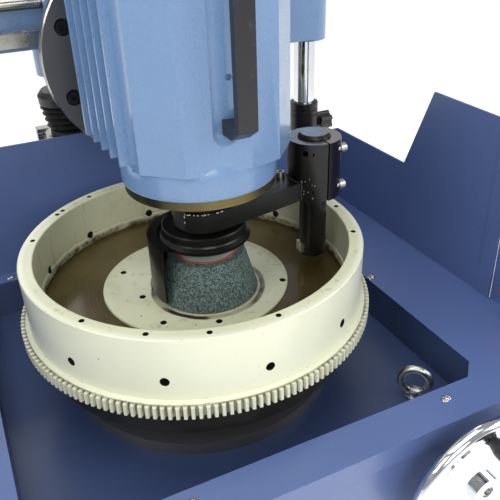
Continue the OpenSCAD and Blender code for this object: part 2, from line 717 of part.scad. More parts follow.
module tool_arm() color(black) translate([head_x, -head_y, 0]) difference() {
    union() {
        translate([0, 0, hub_low]) cylinder(r = arm_hub_r, h = arm_h);
        translate([0, 0, hub_low]) linear_extrude(arm_h) arm_plan();
        translate([arm_reach, 0, clamp_low]) cylinder(r = clamp_r, h = clamp_top - clamp_low);
    }
    translate([0, 0, hub_low - eps]) cylinder(r = nose_r + run, h = arm_h + 2 * eps);
    translate([0, 0, hub_low - eps]) linear_extrude(arm_h + 2 * eps)
        polygon([[0, 0], [-60, -48], [-60, 48]]);
    translate([arm_reach, 0, clamp_low - eps]) cylinder(r = tool_bar_d / 2 + run, h = 100);
    translate([arm_reach, 0, clamp_low - eps]) rotate(slit_turn) translate([0, -1.2, 0])
        cube([clamp_r + 5, 2.4, 100]);
    for (z = clamp_screw_z) translate([arm_reach, 0, z]) rotate(slit_turn) translate([seat_x, -20, 0])
        rotate([-90, 0, 0]) {
            cylinder(r = 4 + run, h = 50);
            translate([0, 0, 20 + seat_h]) cylinder(r = 7.5, h = 30);
        }
    translate([arm_reach, 0, clamp_top - 12]) rotate(-138) translate([20, 0, 0])
        rotate([0, 90, 0]) cylinder(r = 3.8, h = 20);
    translate([stop_x, stop_y, hub_low + arm_h - 14]) cylinder(r = 3.5 + run, h = 20);
}

module clamp_screws() color(steel) translate([head_x, -head_y, 0]) {
    for (z = clamp_screw_z) translate([arm_reach, 0, z]) rotate(slit_turn)
        translate([seat_x, seat_h, 0]) rotate([-90, 0, 0]) cap_screw(8, 38);
    translate([stop_x, stop_y, hub_low + arm_h]) cap_screw(7, 12);
}

tool_low = rim_top - 56;

module tool_bar() color(black) translate([head_x + arm_reach, -head_y, 0]) difference() {
    union() {
        translate([0, 0, tool_low]) cylinder(r1 = tool_bar_d / 2 - 2, r2 = tool_bar_d / 2, h = 2);
        translate([0, 0, tool_low + 2]) cylinder(r = tool_bar_d / 2, h = clamp_top - tool_low);
        translate([0, 0, clamp_top + gap]) cylinder(r = tool_bar_d / 2 + 3, h = 1.5);
        translate([0, 0, clamp_top + gap + 1.5])
            cylinder(r1 = tool_bar_d / 2 + 3, r2 = tool_bar_d / 2 - 0.5, h = 3.5);
    }
    span([-tool_bar_d, -7, tool_low + 6], [-tool_bar_d / 2 + 10, 7, tool_low + 20]);
}

module tool_insert() color([0.75, 0.74, 0.7]) translate([head_x + arm_reach, -head_y, 0])
    span([-tool_bar_d / 2 - 3, -7, tool_low + 6], [-tool_bar_d / 2 + 10, 7, tool_low + 20]);

// ---------------------------------------------------------------- table and flywheel

module rotary_table() color(grey) difference() {
    union() {
        translate([0, 0, table_top - 28]) cylinder(r = 217, h = 28);
        translate([0, 0, table_top - 40]) cylinder(r = 211, h = 13);
        translate([0, 0, table_top - 1]) cylinder(r = 30, h = 13);
    }
    for (a = [30:60:330]) rotate(a) translate([60, -7, table_top - 12]) cube([130, 14, 13]);
    for (a = [30:60:330]) rotate(a) translate([60, -11, table_top - 20]) cube([130, 22, 9]);
    translate([0, 0, table_top - 41]) cylinder(r = 61, h = 13);
}

module table_spindle() color(steel) {
    translate([0, 0, table_top - 41]) cylinder(r = 61, h = 13);
    translate([0, 0, pulley_z - 12]) cylinder(r = 25, h = table_top - 30 - pulley_z + 12);
    difference() {
        translate([0, 0, pulley_z]) rotate_extrude() polygon([[0, 0], [big_pulley_r + 4, 0],
            [big_pulley_r, 3], [big_pulley_r, pulley_h - 3], [big_pulley_r + 4, pulley_h], [0, pulley_h]]);
        for (a = [0:60:300]) rotate(a) translate([46, 0, pulley_z - eps]) cylinder(r = 11, h = 40);
    }
}

module table_housing() color(grey) difference() {
    union() {
        translate([0, 0, well_floor]) cylinder(r = collar_r, h = 17);
        translate([0, 0, well_floor + 16]) cylinder(r1 = 64, r2 = 50, h = 16);
        translate([0, 0, well_floor - 170]) cylinder(r = 60, h = 171);
    }
    translate([0, 0, well_floor - 171]) cylinder(r = 25 + run, h = 220);
}

module table_motor() color(sky) translate([motor_x, motor_y, 0]) difference() {
    union() {
        translate([-80, -80, well_floor - sheet - 14]) cube([160, 160, 14]);
        translate([0, 0, pulley_z + pulley_h + 14])
            cylinder(r = 72, h = well_floor - sheet - 14 - pulley_z - pulley_h - 14);
        for (a = [0:20:340]) rotate(a) translate([68, -2, pulley_z + pulley_h + 30])
            cube([12, 4, 110]);
        rotate(200) translate([70, -35, pulley_z + pulley_h + 60]) cube([34, 70, 60]);
    }
    translate([0, 0, pulley_z + pulley_h]) cylinder(r = 12 + run, h = 45);
}

// points along an arc
function arc_points(c, r, a0, a1, n) =
    [for (i = [0:n]) let (a = a0 + (a1 - a0) * i / n) c + r * [cos(a), sin(a)]];

// outline of a belt round both pulleys, at a distance past their treads
module belt_outline(t) {
    d = norm([motor_x, motor_y]);
    r0 = big_pulley_r + t;
    r1 = small_pulley_r + t;
    wrap = acos((r0 - r1) / d);
    rotate(atan2(motor_y, motor_x)) polygon(concat(arc_points([0, 0], r0, wrap, 360 - wrap, 36),
        arc_points([d, 0], r1, -wrap, wrap, 24)));
}

module drive_belt() color(black) difference() {
    translate([0, 0, pulley_z + 4]) linear_extrude(pulley_h - 8) belt_outline(belt_t + gap);
    translate([0, 0, pulley_z]) linear_extrude(pulley_h) belt_outline(gap);
}

module motor_pulley() color(steel) translate([motor_x, motor_y, pulley_z]) {
    difference() {
        rotate_extrude() polygon([[0, 0], [small_pulley_r + 4, 0], [small_pulley_r, 3],
            [small_pulley_r, pulley_h - 3], [small_pulley_r + 4, pulley_h], [0, pulley_h]]);
        translate([0, 0, -eps]) cylinder(r = 22, h = 10);
    }
    cylinder(r = 12, h = pulley_h + 40);
}

// drilled holes: [distance from the axis, direction]
rim_holes = [for (k = [0:5]) [211, 60 * k + 34.5], for (k = [0:2]) each [[212, 120 * k - 4.5],
    [212, 120 * k + 13.5]], [212.5, 130]];
hub_holes = [[105, 143], [105, 226], [106, 264], [118, 330], [79, 186], [105, 52]];

module flywheel() color(cream) difference() {
    translate([0, 0, table_top]) rotate_extrude() polygon([[30, 0], [205, 0], [205, 2], [218, 2],
        [218, 17], [rim_d / 2 + 5.5, 17], [rim_d / 2 + 5.5, 18], [rim_d / 2, 20],
        [rim_d / 2, rim_h - 1.2], [rim_d / 2 - 1.2, rim_h], [pot_d / 2 + 1.5, rim_h],
        [pot_d / 2 + 0.4, rim_h - 0.5], [pot_d / 2, rim_h - 1.8], [pot_d / 2, 45],
        [pot_d / 2 + 1.2, 43.5], [pot_d / 2 - 0.3, 42.5], [pot_d / 2 - 2, 34], [pot_d / 2 + 0.8, 33.4],
        [pot_d / 2 + 0.8, 30], [hub_d / 2, 30], [hub_d / 2, 32.2], [hub_d / 2 - 0.8, 33],
        [hub_d / 2 - 10, 34], [62, 34], [58, 30], [30, 30]]);
    for (a = [0:30:330]) rotate(a) translate([180, 0, rim_top - 55]) rotate([0, 90, 0])
        cylinder(r = 5.5, h = 60);
    for (h = rim_holes) rotate(h[1]) translate([h[0], 0, rim_top - 25]) cylinder(r = 3.3, h = 30);
    for (h = hub_holes) rotate(h[1]) translate([h[0], 0, table_top - eps]) cylinder(r = 4.2, h = 40);
}

module ring_gear() color(cream) translate([0, 0, ring_top - ring_h]) difference() {
    cylinder(r = ring_tip_d / 2, h = ring_h);
    translate([0, 0, -eps]) cylinder(r = 218, h = ring_h + 2 * eps);
    half_pitch = PI * ring_tip_d / 2 / ring_teeth;
    for (i = [0:ring_teeth - 1]) rotate(i * 360 / ring_teeth)
        translate([ring_tip_d / 2 - 5.5, 0, -eps]) linear_extrude(ring_h + 2 * eps)
            polygon([[0, -0.28 * half_pitch], [7, -0.68 * half_pitch], [7, 0.68 * half_pitch],
                [0, 0.28 * half_pitch]]);
}

plinth();
cabinet_shell();
deck_tray();
back_splash();
right_splash();
left_splash();
door_hinges();
deck_screws();
lifting_eyebolt();
control_pillar();
column_left();
column_right();
foot_left();
foot_right();
column_gaiter();
crosshead();
table_housing();
table_motor();
motor_pulley();
drive_belt();
door_panel();
door_latch();
stop_collar();
collar_knob();
stop_button();
start_button();
feed_screw();
handwheel();
pinion_shaft();
handwheel_grip();
carriage();
column_bushes();
feed_nut();
cross_rails();
cross_screw();
cross_knob();
saddle();
rail_blocks();
swivel_disc();
swivel_screws();
motor_housing();
flange_ring();
fan_cover();
head_handle();
spindle_nose();
wheel_guard();
spindle_bearings();
wheel_spindle();
wheel_flange();
blotter();
cup_stone();
wheel_nut();
tool_arm();
clamp_screws();
tool_bar();
tool_insert();
rotary_table();
table_spindle();
flywheel();
ring_gear();
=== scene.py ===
import json
import math
import random

import bmesh
import bpy
from mathutils import Matrix, Vector


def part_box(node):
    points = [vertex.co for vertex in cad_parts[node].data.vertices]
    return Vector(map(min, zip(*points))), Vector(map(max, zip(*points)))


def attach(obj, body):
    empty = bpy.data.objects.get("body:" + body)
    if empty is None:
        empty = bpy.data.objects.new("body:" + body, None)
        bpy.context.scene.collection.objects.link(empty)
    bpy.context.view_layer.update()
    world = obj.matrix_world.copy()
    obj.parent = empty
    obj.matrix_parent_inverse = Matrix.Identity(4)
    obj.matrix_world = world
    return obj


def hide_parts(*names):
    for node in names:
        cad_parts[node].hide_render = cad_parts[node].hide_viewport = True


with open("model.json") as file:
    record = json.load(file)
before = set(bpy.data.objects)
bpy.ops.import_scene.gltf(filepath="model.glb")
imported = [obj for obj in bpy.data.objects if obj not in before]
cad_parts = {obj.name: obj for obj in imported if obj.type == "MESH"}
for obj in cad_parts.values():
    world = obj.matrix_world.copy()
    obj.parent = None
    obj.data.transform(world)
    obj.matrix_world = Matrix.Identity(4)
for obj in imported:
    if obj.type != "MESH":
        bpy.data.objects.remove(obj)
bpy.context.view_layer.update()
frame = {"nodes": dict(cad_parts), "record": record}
nodes = frame["nodes"]
MM = 0.001


# ---------------------------------------------------------------- places taken from the frame

def middle(node):
    low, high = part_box(node)
    return (low + high) / 2


rim_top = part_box("flywheel")[1].z
deck_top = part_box("back_splash")[0].z
spindle = middle("wheel_spindle")

# the flywheel, measured from its axis and down from its rim
HOLE_IN = 206.5 * MM
HOLE_OUT = 220 * MM
hub_radius = 125.5 * MM
pot_floor = rim_top - 62 * MM
side_hole = rim_top - 55 * MM
rim_hole_foot = rim_top - 26 * MM


# ---------------------------------------------------------------- materials

def display(red, green, blue):
    """Linear colour of a display colour given in 0 to 255."""
    return tuple((c / 255) ** 2.2 for c in (red, green, blue)) + (1.0,)


BLUE = display(82, 100, 146)
# darker blue of the well: partly painted shade, partly a wet film
SHADED_WET_BLUE = display(56, 70, 104)
SKY = display(108, 138, 177)
CREAM = display(220, 222, 196)
# cream inside the pot: partly painted shade of the recess, partly an oil tint
POT_CREAM = display(206, 208, 176)


class Shader:
    """One procedural material, with Object coordinates in metres."""

    def __init__(self, name, metallic=0.0, coat=0.0, coat_roughness=0.1, anisotropic=0.0):
        self.material = bpy.data.materials.new(name)
        self.material.use_nodes = True
        self.tree = self.material.node_tree
        self.bsdf = self.tree.nodes["Principled BSDF"]
        self.bsdf.inputs["Metallic"].default_value = metallic
        self.bsdf.inputs["Coat Weight"].default_value = coat
        self.bsdf.inputs["Coat Roughness"].default_value = coat_roughness
        self.bsdf.inputs["Anisotropic"].default_value = anisotropic
        self.place = self.node("ShaderNodeTexCoord").outputs["Object"]

    def put(self, socket, value):
        if isinstance(value, bpy.types.NodeSocket):
            self.tree.links.new(value, socket)
        else:
            socket.default_value = value

    def node(self, kind, inputs=None, **settings):
        made = self.tree.nodes.new(kind)
        for key, value in settings.items():
            setattr(made, key, value)
        for key, value in (inputs or {}).items():
            self.put(made.inputs[key], value)
        return made

    def stretch(self, factors, place=None):
        """The coordinates, scaled along each axis."""
        inputs = {0: place or self.place, 1: factors}
        return self.node("ShaderNodeVectorMath", inputs, operation="MULTIPLY").outputs[0]

    def noise(self, scale, detail=4.0, rough=0.55, place=None):
        inputs = {"Vector": place or self.place, "Scale": scale, "Detail": detail, "Roughness": rough}
        return self.node("ShaderNodeTexNoise", inputs).outputs[0]

    def cells(self, scale, feature="F1", output="Distance"):
        inputs = {"Vector": self.place, "Scale": scale}
        return self.node("ShaderNodeTexVoronoi", inputs, feature=feature).outputs[output]

    def calc(self, operation, first, second=0.0):
        return self.node("ShaderNodeMath", {0: first, 1: second}, operation=operation).outputs[0]

    def spread(self, value, low, high, out_low=0.0, out_high=1.0):
        """Maps low..high to out_low..out_high, smoothly and clamped."""
        inputs = {0: value, 1: low, 2: high, 3: out_low, 4: out_high}
        return self.node("ShaderNodeMapRange", inputs, interpolation_type="SMOOTHSTEP").outputs[0]

    def mix(self, factor, first, second):
        inputs = {0: factor, 6: first, 7: second}
        return self.node("ShaderNodeMix", inputs, data_type="RGBA").outputs[2]

    def edges(self, radius):
        """1 along the part's edges and 0 on its faces."""
        rounded = self.node("ShaderNodeBevel", {"Radius": radius}, samples=4).outputs[0]
        plain = self.node("ShaderNodeNewGeometry").outputs["True Normal"]
        dot = self.node("ShaderNodeVectorMath", {0: rounded, 1: plain}, operation="DOT_PRODUCT")
        return self.spread(dot.outputs["Value"], 0.99, 0.8)

    def radius(self, x, y):
        """Distance from an upright axis, in metres."""
        parts = self.node("ShaderNodeSeparateXYZ", {0: self.place})
        dx = self.calc("SUBTRACT", parts.outputs[0], x)
        dy = self.calc("SUBTRACT", parts.outputs[1], y)
        return self.calc("SQRT", self.calc("ADD", self.calc("MULTIPLY", dx, dx),
                                           self.calc("MULTIPLY", dy, dy)))

    def height(self):
        return self.node("ShaderNodeSeparateXYZ", {0: self.place}).outputs[2]

    def turned(self, x, y, scale):
        """Fine rings round an upright axis, as a lathe leaves them."""
        place = self.node("ShaderNodeCombineXYZ", {0: self.radius(x, y), 2: self.height()}).outputs[0]
        return self.noise(scale, 2.0, 0.6, place)

    def finish(self, colour, roughness, *bumps):
        """Connects the colour and roughness, and stacks bumps of (height, depth in metres)."""
        self.put(self.bsdf.inputs["Base Color"], colour)
        self.put(self.bsdf.inputs["Roughness"], roughness)
        normal = None
        for height, depth in bumps:
            inputs = {"Height": height, "Distance": depth, "Strength": 1.0}
            if normal is not None:
                inputs["Normal"] = normal
            normal = self.node("ShaderNodeBump", inputs).outputs[0]
        if normal is not None:
            self.put(self.bsdf.inputs["Normal"], normal)
        return self.material


def tint(colour, factor):
    return tuple(min(1.0, c * factor) for c in colour[:3]) + (1.0,)


def powder_coat(name, colour):
    s = Shader(name, coat=0.25, coat_roughness=0.22)
    cloud = s.mix(s.noise(5.0, 3.0), tint(colour, 0.86), tint(colour, 1.12))
    scuff = s.noise(1.0, 6.0, 0.7, s.stretch((14.0, 90.0, 30.0)))
    cloud = s.mix(s.spread(scuff, 0.58, 0.72, 0.0, 0.22), cloud, tint(colour, 1.5))
    speck = s.spread(s.noise(900.0, 2.0), 0.60, 0.72)
    base = s.mix(s.calc("MULTIPLY", speck, 0.35), cloud, tint(colour, 1.7))
    smudge = s.spread(s.noise(18.0, 6.0, 0.7), 0.5, 0.75)
    worn = s.calc("MULTIPLY", s.edges(1.5 * MM), s.spread(s.noise(60.0, 5.0), 0.45, 0.62))
    base = s.mix(s.calc("MULTIPLY", worn, 0.6), base, tint(colour, 2.2))
    rough = s.calc("ADD", 0.36, s.calc("MULTIPLY", smudge, 0.14))
    return s.finish(base, rough, (s.noise(420.0, 2.0), 0.10 * MM), (s.noise(1500.0, 1.0), 0.03 * MM))


def cast_enamel(name, colour, pebble=0.28):
    s = Shader(name, coat=0.5, coat_roughness=0.12)
    cloud = s.mix(s.noise(7.0, 3.0), tint(colour, 0.92), tint(colour, 1.08))
    pits = s.cells(560.0, "SMOOTH_F1")
    base = s.mix(s.spread(pits, 0.35, 0.75, 0.0, 0.35), cloud, tint(colour, 0.8))
    worn = s.calc("MULTIPLY", s.edges(1.2 * MM), s.spread(s.noise(90.0, 5.0), 0.5, 0.62))
    base = s.mix(s.calc("MULTIPLY", worn, 0.5), base, tint(colour, 1.6))
    rough = s.spread(s.noise(30.0, 5.0), 0.3, 0.7, 0.24, 0.36)
    facing = s.node("ShaderNodeSeparateXYZ", {0: s.node("ShaderNodeNewGeometry").outputs["True Normal"]})
    lumps = s.spread(facing.outputs[0], -0.5, -0.3, 0.12, 1.0)
    return s.finish(base, rough, (s.calc("MULTIPLY", pits, lumps), pebble * MM),
                    (s.noise(120.0, 3.0), 0.12 * MM))


def ring_mask(s, centre, radius, half_width):
    """1 on a thin uneven circle round an upright axis."""
    wander = s.calc("MULTIPLY", s.noise(22.0, 3.0), 6 * MM)
    offset = s.calc("SUBTRACT", s.calc("ADD", s.radius(*centre), wander), radius + 3 * MM)
    return s.spread(s.calc("ABSOLUTE", offset), half_width * 0.4, half_width, 1.0, 0.0)


def cream_enamel(name, colour):
    s = Shader(name, coat=0.35, coat_roughness=0.16)
    base = s.mix(s.noise(9.0, 4.0), tint(colour, 0.92), tint(colour, 1.04))
    outer = s.spread(s.radius(0.0, 0.0), 212 * MM, 219 * MM)
    # inside the pot the darker, greener cream: partly painted shade, partly an oil tint
    inside = s.mix(s.noise(15.0, 4.0), tint(POT_CREAM, 0.88), tint(POT_CREAM, 1.06))
    base = s.mix(outer, inside, base)
    in_pot = s.calc("SUBTRACT", 1.0, outer)
    oil = s.calc("MULTIPLY", s.spread(s.noise(26.0, 6.0, 0.7), 0.55, 0.74), in_pot)
    base = s.mix(s.calc("MULTIPLY", oil, 0.4), base, display(150, 136, 80))
    streaks = s.noise(1.0, 5.0, 0.6, s.stretch((70.0, 70.0, 7.0)))
    streaks = s.calc("MULTIPLY", s.spread(streaks, 0.56, 0.76, 0.0, 0.5), in_pot)
    base = s.mix(streaks, base, display(128, 112, 62))
    # darker brown at the foot of the pot's inner wall: painted shade in the corner, partly dirt
    foot = s.spread(s.height(), rim_top - 64 * MM, rim_top - 57 * MM, 1.0, 0.0)
    at_wall = s.calc("MULTIPLY", s.spread(s.radius(0.0, 0.0), 198 * MM, 201 * MM), in_pot)
    grime_and_shade = s.spread(s.noise(60.0, 6.0, 0.7), 0.35, 0.6, 0.35, 1.0)
    base = s.mix(s.calc("MULTIPLY", s.calc("MULTIPLY", foot, at_wall), grime_and_shade), base, display(64, 54, 26))
    # painted shadow of the stone and its guard on the hub: a dark uneven ring round the spindle's axis,
    # partly an oily stain
    stone_shadow_ring = ring_mask(s, (spindle.x, spindle.y), 73 * MM, 5.0 * MM)
    on_hub = s.spread(s.height(), rim_top - 65 * MM, rim_top - 62 * MM, 1.0, 0.0)
    broken = s.spread(s.noise(14.0, 3.0), 0.36, 0.52, 0.4, 1.0)
    base = s.mix(s.calc("MULTIPLY", s.calc("MULTIPLY", stone_shadow_ring, on_hub), broken), base, display(44, 36, 22))
    # painted shadow of the stone: the hub darker close round the spindle's axis
    shadow_under_stone = s.spread(s.radius(spindle.x, spindle.y), 60 * MM, 71 * MM, 0.55, 0.0)
    base = s.mix(s.calc("MULTIPLY", shadow_under_stone, on_hub), base, display(70, 64, 40))
    chips = s.calc("MULTIPLY", s.edges(1.6 * MM), s.spread(s.noise(130.0, 6.0, 0.7), 0.56, 0.62))
    base = s.mix(chips, base, display(70, 58, 42))
    specks = s.spread(s.noise(170.0, 2.0), 0.745, 0.77)
    base = s.mix(specks, base, display(72, 60, 36))
    rough = s.spread(s.noise(20.0, 5.0), 0.3, 0.7, 0.30, 0.46)
    return s.finish(base, rough, (s.noise(45.0, 3.0), 0.35 * MM), (s.noise(260.0, 3.0), 0.07 * MM))


def gear_enamel(name, colour, tip, depth):
    """Enamel, darker and browner in patches down in the gaps between the teeth."""
    s = Shader(name, coat=0.3, coat_roughness=0.2)
    base = s.mix(s.noise(30.0, 4.0), tint(colour, 0.86), tint(colour, 1.05))
    deep = s.spread(s.radius(0.0, 0.0), tip - depth, tip - 0.25 * depth, 0.8, 0.0)
    patchy = s.spread(s.noise(40.0, 5.0), 0.3, 0.6, 0.45, 1.0)
    base = s.mix(s.calc("MULTIPLY", deep, patchy), base, display(84, 78, 50))
    worn = s.calc("MULTIPLY", s.edges(0.5 * MM), s.spread(s.noise(200.0, 4.0), 0.5, 0.62))
    base = s.mix(s.calc("MULTIPLY", worn, 0.7), base, display(90, 84, 66))
    return s.finish(base, 0.38, (s.noise(150.0, 3.0), 0.12 * MM))


def dark_hole_wall(name):
    """Bare, very dark inside of a drilled hole."""
    s = Shader(name, metallic=0.4)
    base = s.mix(s.noise(200.0, 4.0), display(22, 20, 14), display(58, 52, 38))
    return s.finish(base, 0.5, (s.noise(500.0, 3.0), 0.05 * MM))


def friction_face(name):
    s = Shader(name, metallic=0.45, coat=0.35, coat_roughness=0.12)
    film = s.noise(7.0, 5.0, 0.6)
    base = s.mix(s.spread(film, 0.35, 0.68), display(70, 58, 24), display(98, 84, 46))
    drops = s.spread(s.noise(34.0, 5.0, 0.7), 0.60, 0.70)
    base = s.mix(s.calc("MULTIPLY", drops, 0.5), base, display(58, 44, 18))
    rings = s.turned(0.0, 0.0, 900.0)
    base = s.mix(s.spread(rings, 0.35, 0.65, 0.0, 0.25), base, display(126, 112, 72))
    rough = s.calc("ADD", 0.26, s.calc("MULTIPLY", film, 0.3))
    return s.finish(base, rough, (rings, 0.04 * MM), (film, 0.15 * MM))


def steel(name, colour, axis=(0.0, 0.0), rough=0.22, rings=900.0):
    s = Shader(name, metallic=1.0, anisotropic=0.4)
    grain = s.turned(axis[0], axis[1], rings)
    stain = s.spread(s.noise(35.0, 6.0, 0.7), 0.5, 0.75)
    base = s.mix(grain, tint(colour, 0.8), tint(colour, 1.15))
    base = s.mix(s.calc("MULTIPLY", stain, 0.35), base, tint(display(150, 120, 80), 0.8))
    roughness = s.calc("ADD", rough, s.calc("MULTIPLY", stain, 0.2))
    return s.finish(base, roughness, (grain, 0.04 * MM))


def chrome(name):
    s = Shader(name, metallic=1.0)
    haze = s.noise(60.0, 6.0, 0.7)
    base = s.mix(haze, display(205, 208, 212), display(232, 234, 238))
    fine = s.noise(1.0, 2.0, 0.6, s.stretch((700.0, 700.0, 20.0)))
    return s.finish(base, s.spread(haze, 0.4, 0.7, 0.06, 0.2), (fine, 0.008 * MM))


def zinc(name):
    s = Shader(name, metallic=1.0)
    blotch = s.noise(160.0, 6.0, 0.7)
    base = s.mix(blotch, display(150, 156, 152), display(214, 216, 208))
    dark = s.spread(s.noise(300.0, 3.0), 0.58, 0.7)
    base = s.mix(s.calc("MULTIPLY", dark, 0.5), base, display(96, 98, 92))
    return s.finish(base, s.spread(blotch, 0.3, 0.7, 0.24, 0.46), (s.noise(500.0, 4.0), 0.12 * MM))


def black_oxide(name, level=19):
    s = Shader(name, metallic=0.15, coat=0.2, coat_roughness=0.2)
    s.bsdf.inputs["Specular IOR Level"].default_value = 0.35
    base = s.mix(s.noise(22.0, 5.0), display(level - 6, level - 7, level - 7),
                 display(level + 7, level + 5, level + 7))
    rust = s.spread(s.noise(50.0, 6.0, 0.7), 0.62, 0.75)
    base = s.mix(s.calc("MULTIPLY", rust, 0.3), base, display(48, 38, 28))
    worn = s.calc("MULTIPLY", s.edges(0.9 * MM), s.spread(s.noise(140.0, 5.0), 0.42, 0.6))
    base = s.mix(s.calc("MULTIPLY", worn, 0.4), base, display(96, 94, 92))
    rough = s.spread(s.noise(30.0, 5.0), 0.3, 0.7, 0.28, 0.46)
    return s.finish(base, rough, (s.noise(350.0, 4.0), 0.06 * MM))


def moulded(name, colour, rough=0.3, grain=0.05):
    s = Shader(name)
    base = s.mix(s.noise(40.0, 4.0), tint(colour, 0.85), tint(colour, 1.2))
    dust = s.spread(s.noise(80.0, 6.0, 0.7), 0.55, 0.8)
    base = s.mix(s.calc("MULTIPLY", dust, 0.12), base, display(150, 148, 142))
    return s.finish(base, s.spread(dust, 0.0, 1.0, rough, rough + 0.2), (s.noise(700.0, 3.0), grain * MM))


def grit(name):
    s = Shader(name)
    grain = s.cells(760.0, "F1", "Color")
    value = s.node("ShaderNodeSeparateColor", {0: grain}).outputs[0]
    base = s.mix(s.spread(value, 0.1, 0.95), display(46, 60, 58), display(118, 140, 138))
    glint = s.spread(s.noise(1300.0, 2.0), 0.70, 0.76)
    base = s.mix(glint, base, display(168, 184, 182))
    pores = s.spread(s.cells(620.0, "F1"), 0.45, 0.7)
    base = s.mix(s.calc("MULTIPLY", pores, 0.35), base, display(34, 44, 42))
    wide = s.mix(s.noise(30.0, 4.0), (0.8, 0.8, 0.8, 1.0), (1.15, 1.15, 1.1, 1.0))
    base = s.node("ShaderNodeMix", {0: 1.0, 6: base, 7: wide}, data_type="RGBA",
                  blend_type="MULTIPLY").outputs[2]
    return s.finish(base, s.spread(value, 0.0, 1.0, 0.5, 0.85), (value, 0.35 * MM), (pores, 0.3 * MM))


def card(name, colour):
    s = Shader(name)
    base = s.mix(s.noise(90.0, 6.0, 0.7), tint(colour, 0.7), tint(colour, 1.2))
    return s.finish(base, 0.85, (s.noise(600.0, 4.0), 0.08 * MM))


def cast_iron(name, level=58):
    s = Shader(name, metallic=0.6, coat=0.3, coat_roughness=0.25)
    base = s.mix(s.noise(25.0, 6.0), display(level - 16, level - 17, level - 18),
                 display(level + 14, level + 12, level + 8))
    rings = s.turned(0.0, 0.0, 500.0)
    return s.finish(base, s.spread(s.noise(16.0, 5.0), 0.3, 0.7, 0.3, 0.5), (rings, 0.05 * MM))


def turned_ring_painted_light(name):
    s = Shader(name, metallic=0.9, anisotropic=0.5)
    grain = s.turned(spindle.x, spindle.y, 900.0)
    # golden tones: painted reflection of the cream flywheel in the turned steel
    base = s.mix(grain, display(84, 77, 48), display(122, 114, 80))
    across = s.node("ShaderNodeSeparateXYZ", {0: s.place}).outputs[0]
    # painted shade: the ring darker towards its left part
    shade = s.spread(across, spindle.x - 80 * MM, spindle.x - 10 * MM, 0.75, 0.0)
    base = s.mix(shade, base, display(52, 50, 42))
    oil = s.spread(s.noise(60.0, 5.0), 0.55, 0.7, 0.0, 0.6)
    base = s.mix(oil, base, display(120, 96, 40))
    return s.finish(base, s.spread(s.noise(30.0, 4.0), 0.3, 0.7, 0.28, 0.42), (grain, 0.03 * MM))


materials = {
    "dark_blue_paint": powder_coat("dark_blue_paint", BLUE),
    "light_blue_paint": cast_enamel("light_blue_paint", SKY),
    "grey_paint": powder_coat("grey_paint", display(70, 70, 74)),
    "machined_steel": steel("machined_steel", display(176, 174, 168), (spindle.x, spindle.y)),
    "hard_chrome": chrome("hard_chrome"),
    "zinc": zinc("zinc"),
    "black_oxide": black_oxide("black_oxide"),
    "black_plastic": moulded("black_plastic", display(34, 34, 36)),
    "black_rubber": moulded("black_rubber", display(30, 29, 29), 0.42, 0.08),
    "red_plastic": moulded("red_plastic", display(196, 24, 20), 0.22, 0.02),
    "green_plastic": moulded("green_plastic", display(30, 120, 52), 0.22, 0.02),
    "bronze": steel("bronze", display(190, 148, 84), (spindle.x, spindle.y), 0.3),
    "cream_paint": cream_enamel("cream_paint", CREAM),
    "silicon_carbide": grit("silicon_carbide"),
    "blotter_card": card("blotter_card", display(190, 84, 56)),
    "cast_iron": cast_iron("cast_iron"),
    "carbide": steel("carbide", display(214, 210, 202), (spindle.x, spindle.y), 0.34),
}

for row in frame["record"]["subparts"]:
    data = nodes[row["node"]].data
    data.materials.clear()
    data.materials.append(materials[row["material_slot"]])


def paint_faces(node, material, chosen):
    """Gives a material to the faces of a CAD node whose middle and normal are chosen."""
    data = nodes[node].data
    data.materials.append(material)
    index = len(data.materials) - 1
    for face in data.polygons:
        if chosen(face.center, face.normal):
            face.material_index = index


def wear(node, material):
    """Gives a whole CAD node a finish of its own."""
    nodes[node].data.materials[0] = material


wear("flange_ring", turned_ring_painted_light("turned_ring_painted_light"))
wear("wheel_guard", black_oxide("gloss_black", 14))
wear("spindle_nose", black_oxide("olive_steel", 52))
wear("head_handle", moulded("handle_black", display(35, 35, 38), 0.34, 0.04))
wear("ring_gear", gear_enamel("gear_enamel", display(214, 216, 190), 233.5 * MM, 5.5 * MM))

oily = friction_face("oily_friction_face")
hole_dark = dark_hole_wall("hole_dark")
paint_faces("flywheel", oily, lambda c, n: n.z > 0.9 and c.z < pot_floor
            and hub_radius < math.hypot(c.x, c.y) < HOLE_IN - 0.5 * MM)
paint_faces("flywheel", hole_dark, lambda c, n: abs(n.z) < 0.6 and c.z > rim_hole_foot
            and HOLE_IN < math.hypot(c.x, c.y) < HOLE_OUT)
paint_faces("flywheel", hole_dark, lambda c, n: abs(c.z - side_hole) < 6 * MM
            and HOLE_IN < math.hypot(c.x, c.y) < HOLE_OUT + MM)
paint_faces("flywheel", hole_dark, lambda c, n: abs(n.z) < 0.5 and c.z < pot_floor
            and 70 * MM < math.hypot(c.x, c.y) < 123 * MM)
# the well's floor and walls darker: painted shade of the deep well, partly a wet film of coolant
paint_faces("deck_tray", powder_coat("shaded_wet_blue_paint", SHADED_WET_BLUE),
            lambda c, n: c.z < deck_top - 4 * MM and abs(c.x) < 281 * MM and abs(c.y) < 260 * MM)

